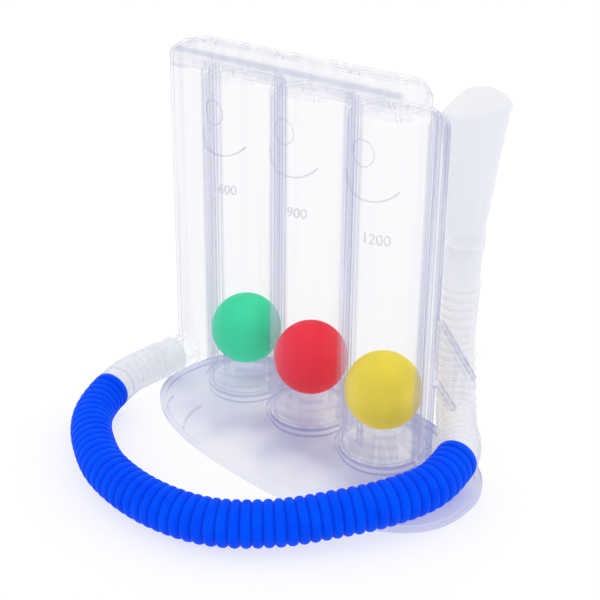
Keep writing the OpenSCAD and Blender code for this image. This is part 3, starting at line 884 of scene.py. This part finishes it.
def clear_finish(name, tint, thin, edge, wave, top_share=0.7, painted_shade=None, streak_scale=380):
    """A clear film. thin is how much shows everywhere, edge how strongly edges close, wave the
    depth of the slow wave, top_share how much less upper faces show, as a painted reflection of
    the sky they mirror, and painted_shade a function whose sum paints shade by making some places
    show more."""
    finish = Finish(name, IOR=FILM_IOR)
    waved = finish.bump(finish.noise(WAVE_SCALE, 1.0), wave)
    facing = finish.node("LayerWeight", out=1, Blend=0.5, Normal=waved)
    closing = facing.power(2) * SLOW_CLOSING + facing.power(8) * EDGE_CLOSING
    stretched = finish.node("Mapping", Vector=finish.place(), Scale=STREAK_STRETCH)
    streaks = finish.node("TexNoise", Vector=stretched, Scale=streak_scale, Detail=2.0)
    lines = (streaks * STREAK_GAIN - STREAK_CUT).at_least(STREAK_LEAST)
    film = closing * lines * edge + thin
    deepness = finish.node(
        "MapRange", Value=streaks, From_Min=DEEP_FROM, From_Max=DEEP_TO, To_Min=0.0,
        To_Max=DEEP_SHARE,
    )
    if painted_shade:
        # painted shade: these places get more film and a deeper lilac
        more = painted_shade(finish)
        film = film + more
        deepness = deepness + more * DEEP_WHERE_PAINTED_SHADE
    deep = tuple(channel * share for channel, share in zip(tint, DEEP_TINT))
    finish.feed("Base Color", finish.mix(deepness, (*tint, 1), (*deep, 1)))
    # upper faces show less film: a painted reflection of the sky
    finish.feed("Alpha", film * (1 - finish.upward().at_least(0.0) * top_share))
    finish.uneven_gloss(scale=80, least=0.05, spread=0.08)
    return finish.material


# %% [markdown]
# ## Painted shade: where more of the film shows
# Where two walls meet, or one turns away, the eye looks through more plastic and sees a darker
# line, and here that line is painted shade. A texture could be painted for it, but the places
# are known from the model. So each line is a sum on the piece's own coordinates: a step up,
# and a step down a little further on.

# %% Steps, bands and lines
LINE_HALF = 0.2 * MM
RING_BLUR = 0.5 * MM
JUNCTION_BLUR = 0.6 * MM


def step_in(finish, axis, start, end, amount):
    """Rises from nothing to an amount between two places along an axis of the object."""
    place = finish.node("SeparateXYZ", out="XYZ".index(axis), Vector=finish.place())
    settings = {"interpolation_type": "SMOOTHSTEP"}
    return finish.node(
        "MapRange", settings, Value=place, From_Min=start, From_Max=end, To_Min=0.0, To_Max=amount
    )


def band(finish, axis, rise, fall, amount):
    """Rises to an amount between one pair of places and falls between the next pair."""
    return step_in(finish, axis, *rise, amount) - step_in(finish, axis, *fall, amount)


def lines_at(finish, axis, places, blur, amount):
    """A thin line across an axis at each of some places."""
    lines = 0.0
    for place in places:
        rise = (place - blur, place - LINE_HALF)
        fall = (place + LINE_HALF, place + blur)
        lines = band(finish, axis, rise, fall, amount) + lines
    return lines


# %% [markdown]
# On the housing, painted shade clouds the duct's front, with darker painted lines at its lower
# edge and where it turns over to the top. The leg has a painted dark outer edge, the flange a
# little painted shade, and the bracket's ribs show clearly behind it as painted lines. A painted
# shade line stands upright wherever the flat web runs into a round wall or the leg, and two
# painted rings show where the seats' steps touch the chambers' feet.

# %% Say where shade is painted on the housing
# in metres: where the painted shade rises, where it falls if it does, and how much more film shows
DUCT_FRONT_Y = (-0.0066, -0.0050, 1.0)
DUCT_Z = (0.1340, 0.1350, 1.0)
DUCT_TURN_Z = ((0.1395, 0.1403), (0.1415, 0.1425), 0.20)
DUCT_LOWER_EDGE_Z = ((0.1330, 0.1335), (0.1345, 0.1350), 0.16)
LEG_EDGE_X = (-0.0772, -0.0755, 0.12)
BEHIND_SEAM_Y = (0.0030, 0.0034, 1.0)
FLANGE_X = (0.0480, 0.0490, 0.08)
BRACKET_RIBS_X = (0.0546, 0.0547, 0.22)
WEB_Y = ((-0.0020, -0.0010), (0.0030, 0.0042), 1.0)
CHAMBERS_FROM_X = (-0.0580, -0.0570, 1.0)
# both sides of each chamber, then the leg's inner side and the flange's edge
WALL_FROM_AXIS = 16.1 * MM
JUNCTIONS_X = [x + side * WALL_FROM_AXIS for x in CHAMBER_X for side in (-1, 1)]
JUNCTIONS_X += [-0.0627, 0.0541]
JUNCTION_SHARE = 0.26
FEET_RINGS_Z = (0.0072, 0.0116)
FEET_RING_SHARE = 0.20
DUCT_SHADE_SCALE = 40
DUCT_SHADE_SPREAD = 0.16
DUCT_SHADE_LEAST = 0.03


def housing_painted_shade(finish):
    """The places of the housing where shade is painted, so that more film shows."""
    front = 1 - step_in(finish, "Y", *DUCT_FRONT_Y)
    # painted shade in patches over the duct's front
    patchy_shade = finish.noise(DUCT_SHADE_SCALE, 1.0) * DUCT_SHADE_SPREAD + DUCT_SHADE_LEAST
    duct = step_in(finish, "Z", *DUCT_Z) * front * patchy_shade
    turn = band(finish, "Z", *DUCT_TURN_Z)
    lower_edge = band(finish, "Z", *DUCT_LOWER_EDGE_Z)
    leg_edge = LEG_EDGE_X[-1] - step_in(finish, "X", *LEG_EDGE_X)
    behind = step_in(finish, "Y", *BEHIND_SEAM_Y)
    flange = step_in(finish, "X", *FLANGE_X) * (1 - behind)
    bracket_ribs = step_in(finish, "X", *BRACKET_RIBS_X) * behind
    junctions = lines_at(finish, "X", JUNCTIONS_X, JUNCTION_BLUR, JUNCTION_SHARE)
    junctions = junctions * band(finish, "Y", *WEB_Y)
    feet = lines_at(finish, "Z", FEET_RINGS_Z, RING_BLUR, FEET_RING_SHARE)
    feet = feet * step_in(finish, "X", *CHAMBERS_FROM_X)
    edges = (turn + lower_edge + leg_edge) * front
    return duct + flange + edges + bracket_ribs + junctions + feet


print("junction lines at", [round(x / MM, 1) for x in JUNCTIONS_X], "mm")

# %% [markdown]
# The foot is thicker than the walls and lies in the chambers' shade, which clouds its middle.
# The seats show a ring of painted shade at each step. With that, all the clear finishes can be
# mixed. They differ in tint, in how much film they show, and in how large their streaks are.

# %% Mix the clear finishes
FOOT_SHADE_Y = (-0.046, -0.018, 0.36)
FOOT_CLOUD_SCALE = 28
SEAT_RINGS_Z = (0.0040, 0.0112)
SEAT_RING_SHARE = 0.28


def foot_painted_shade(finish):
    """Painted shade: the foot shows more towards the chambers that stand on it."""
    return step_in(finish, "Y", *FOOT_SHADE_Y) * finish.noise(FOOT_CLOUD_SCALE, 1.0)


def seat_painted_shade(finish):
    """Painted shade: a seat shows more at its steps."""
    return lines_at(finish, "Z", SEAT_RINGS_Z, RING_BLUR, SEAT_RING_SHARE)


clear_shell = clear_finish(
    "clear_polystyrene", tint=(0.58, 0.59, 0.72), thin=0.035, edge=1.0, wave=0.5 * MM,
    painted_shade=housing_painted_shade,
)
clear_foot = clear_finish(
    "clear_polystyrene_foot", tint=(0.47, 0.49, 0.74), thin=0.13, edge=1.5, wave=0.4 * MM,
    top_share=0, painted_shade=foot_painted_shade, streak_scale=30,
)
clear_seat = clear_finish(
    "clear_polystyrene_seat", tint=(0.62, 0.63, 0.80), thin=0.05, edge=1.2, wave=0.2 * MM,
    painted_shade=seat_painted_shade, streak_scale=50,
)
clear_clip = clear_finish(
    "clear_polystyrene_clip", tint=(0.62, 0.63, 0.72), thin=0.02, edge=0.5, wave=0.1 * MM
)
# the marks' darker tint and denser film are painted shade, so that they show as dark lines
clear_marks = clear_finish(
    "clear_polystyrene_marks", tint=(0.36, 0.37, 0.52), thin=0.22, edge=0.75, wave=0.1 * MM
)
print("the housing's film has", len(clear_shell.node_tree.nodes), "nodes")

# %% [markdown]
# ## The balls
# They are thin hollow mouldings in plain colours, a little uneven, with a faint grain. Some
# of the light comes through the thin wall. Scattering below the surface would show that too,
# but slowly and with more noise, so a small share of the colour glows by itself. The glow is
# also painted light, which fills the shade on the balls' lower sides and keeps them flat.

# %% Mix the balls' finishes
BALL_PAINTED_GLOW = 0.32
CLOUDS = 60
GRAINS = 1400
GRAIN_SHARE = 0.4
# the tone at which the paler colour begins, and at which it is all there
PALER_FROM = 0.40
PALER_TO = 0.60


def ball_finish(name, colour, paler):
    """A colour that clouds over to a paler one, with a fine grain."""
    finish = Finish(name, IOR=1.2, Specular_IOR_Level=0.2, Emission_Strength=BALL_PAINTED_GLOW)
    grain = finish.noise(GRAINS)
    tone = finish.noise(CLOUDS, 3.0) * (1 - GRAIN_SHARE) + grain * GRAIN_SHARE
    paleness = finish.node(
        "MapRange", Value=tone, From_Min=PALER_FROM, From_Max=PALER_TO, To_Min=0.0, To_Max=1.0
    )
    shown = finish.mix(paleness, (*colour, 1), (*paler, 1))
    finish.feed("Base Color", shown)
    # painted light: the colour glows, and fills the balls' own shade
    finish.feed("Emission Color", shown)
    finish.feed("Roughness", grain * 0.2 + 0.4)
    finish.bump(grain, 0.06 * MM)
    return finish.material


ball_green = ball_finish("ball_green", colour=(0.012, 0.44, 0.21), paler=(0.022, 0.53, 0.27))
ball_red = ball_finish("ball_red", colour=(0.54, 0.001, 0.008), paler=(0.64, 0.004, 0.018))
ball_yellow = ball_finish(
    "ball_yellow", colour=(0.53, 0.415, 0.012), paler=(0.62, 0.495, 0.025)
)
print("balls in", [ball.name for ball in (ball_green, ball_red, ball_yellow)])

# %% [markdown]
# ## The blue hose
# It is a strong satin polythene, darkened by painted shade down in the narrow slits between its
# ribs. Painting that shade as a texture would have to follow the bends. But the mesh carries its
# distance along the hose, so a cosine of that distance finds the slits, and it stops at the
# plain ring of each end.

# %% Mix the blue of the hose
BLUE_DEEP = (0.0, 0.05, 0.86, 1)
BLUE_BRIGHT = (0.0, 0.10, 1.0, 1)
BLUE_SLIT_SHADE = (0.0, 0.015, 0.42, 1)
SLIT_SHARE = 0.36
SLIT_POWER = 8
SLIT_FADE = 0.4 * MM

ribs_from = BLUE_FROM + END_RING
ribs_to = BLUE_TO - END_RING
blue_pitch = (ribs_to - ribs_from) / round((ribs_to - ribs_from) / RIB_PITCH)
blue = Finish("blue_polythene", IOR=1.2, Specular_IOR_Level=0.1)
satin = blue.mix(blue.noise(120), BLUE_DEEP, BLUE_BRIGHT)
travelled = blue.node("Attribute", {"attribute_name": "along_hose"}, out=2)
wave = ((travelled - ribs_from) * (2 * math.pi / blue_pitch)).cosine()
# painted shade in the slits between the ribs
slit = (wave * 0.5 + 0.5).power(SLIT_POWER)
after_ring = blue.node(
    "MapRange", Value=travelled, From_Min=ribs_from - SLIT_FADE, From_Max=ribs_from,
    To_Min=0.0, To_Max=SLIT_SHARE,
)
before_ring = blue.node(
    "MapRange", Value=travelled, From_Min=ribs_to, From_Max=ribs_to + SLIT_FADE,
    To_Min=1.0, To_Max=0.0,
)
blue.feed("Base Color", blue.mix(slit * after_ring * before_ring, satin, BLUE_SLIT_SHADE))
blue.uneven_gloss(scale=500, least=0.28, spread=0.2)
blue.bump(blue.noise(900), 0.06 * MM)
print("a slit every", round(blue_pitch / MM, 2), "mm")

# %% [markdown]
# ## The milky plastic
# Cuffs, mouthpiece and hose ends are the same kind of plastic without colour. Light goes in,
# scatters and comes out again, so they are bright, half see-through, and denser at their
# edges. A share of openness does that with little noise.

# %% Mix the milky plastic
# how much film shows where it faces the eye, and how much more at its edges
MILKY_FACING = 0.42
MILKY_EDGE = 0.5
milky = Finish("milky_polypropylene", Base_Color=(0.77, 0.78, 0.84, 1), IOR=1.3)
milky_facing = milky.node("LayerWeight", out=1, Blend=0.5)
milky.feed("Alpha", milky_facing.power(2) * MILKY_EDGE + MILKY_FACING)
milky.uneven_gloss(scale=300, least=0.34, spread=0.2)
milky.bump(milky.noise(260), 0.1 * MM)
print("milky film from", MILKY_FACING, "to", round(MILKY_FACING + MILKY_EDGE, 2))

# %% [markdown]
# ## Dressing the pieces
# Every piece gets exactly one finish, in its first material slot. Pieces that the frame brought
# already have a plain one, so the slots are emptied first.

# %% Give every piece its finish
SEATS = ("chamber_1_seat", "chamber_2_seat", "chamber_3_seat")


def finish_piece(piece, material):
    piece.data.materials.clear()
    piece.data.materials.append(material)


for piece in (housing_front, housing_rear):
    finish_piece(piece, clear_shell)
finish_piece(clip, clear_clip)
finish_piece(nodes["foot_plate"], clear_foot)
for name in SEATS:
    finish_piece(nodes[name], clear_seat)
finish_piece(nodes["green_ball"], ball_green)
finish_piece(nodes["red_ball"], ball_red)
finish_piece(nodes["yellow_ball"], ball_yellow)
finish_piece(blue_hose, blue.material)
milky_pieces = [port_end, mouth_end, port_cuff, mouth_cuff, mouthpiece]
for piece in milky_pieces:
    finish_piece(piece, milky.material)
for piece in marks:
    finish_piece(piece, clear_marks)
print("milky pieces:", [piece.name for piece in milky_pieces])

# %% [markdown]
# Clear and milky plastic let nearly all light through, but a stack of thin films would add up
# to a dark inside. So these pieces throw no shadow, and the balls stay as bright as in the open.

# %% Let the light through
see_through = [nodes[name] for name in ("foot_plate", *SEATS)]
see_through += soft_pieces + marks + milky_pieces
for piece in see_through:
    piece.visible_shadow = False
    piece.visible_diffuse = False
print("pieces that let light through:", len(see_through))

# %% [markdown]
# ## The floor
# Clear plastic shows what is round it, so it is best photographed on a light table: a white
# sheet that glows a little from below. The glow fills the shadows, and the background stays
# clean and white. The sheet lies a hair below the foot, so that the two don't flicker.

# %% Lay the floor
FLOOR_SIZE = 6
FLOOR_GLOW = 0.68
deselect_all()
bpy.ops.mesh.primitive_plane_add(size=FLOOR_SIZE, location=(0, 0, -0.2 * MM))
floor = bpy.context.object
floor.name = "floor"
floor_finish = Finish(
    "pale_floor", Base_Color=(0.3, 0.3, 0.3, 1), Roughness=0.8, IOR=1.2,
    Emission_Color=(1, 1, 1, 1), Emission_Strength=FLOOR_GLOW,
)
finish_piece(floor, floor_finish.material)
print("floor", FLOOR_SIZE, "m wide")

# %% [markdown]
# ## The light
# The photograph has hardly any shadow. A bright even sky does most of that, and two large soft
# lamps, one from the front left and one from behind, give the balls and the hose some shape.

# %% Light the scene
SKY_STRENGTH = 1.0
LAMP_SIZE = 0.8
LAMP_POWER = 1.2
LAMP_TARGET = (0, 0, 0.06)
CLEAR_LAYERS = 48

world = bpy.data.worlds.new("studio")
bpy.context.scene.world = world
world.use_nodes = True
world.node_tree.nodes["Background"].inputs["Color"].default_value = (1, 1, 1, 1)
world.node_tree.nodes["Background"].inputs["Strength"].default_value = SKY_STRENGTH


def soft_lamp(name, place):
    """A round lamp that looks at the middle of the object."""
    aim = (Vector(LAMP_TARGET) - Vector(place)).to_track_quat("-Z", "Y").to_euler()
    bpy.ops.object.light_add(type="AREA", location=place, rotation=aim)
    lamp = bpy.context.object
    lamp.name = name
    lamp.data.shape = "DISK"
    lamp.data.size = LAMP_SIZE
    lamp.data.energy = LAMP_POWER


soft_lamp("key_lamp", (-0.5, -0.7, 0.9))
soft_lamp("rim_lamp", (0.6, 0.6, 0.7))
bpy.context.scene.view_settings.view_transform = "Standard"
# a line of sight may pass through this many films before it is given up
bpy.context.scene.cycles.transparent_max_bounces = CLEAR_LAYERS
print("two lamps of", LAMP_POWER, "W")
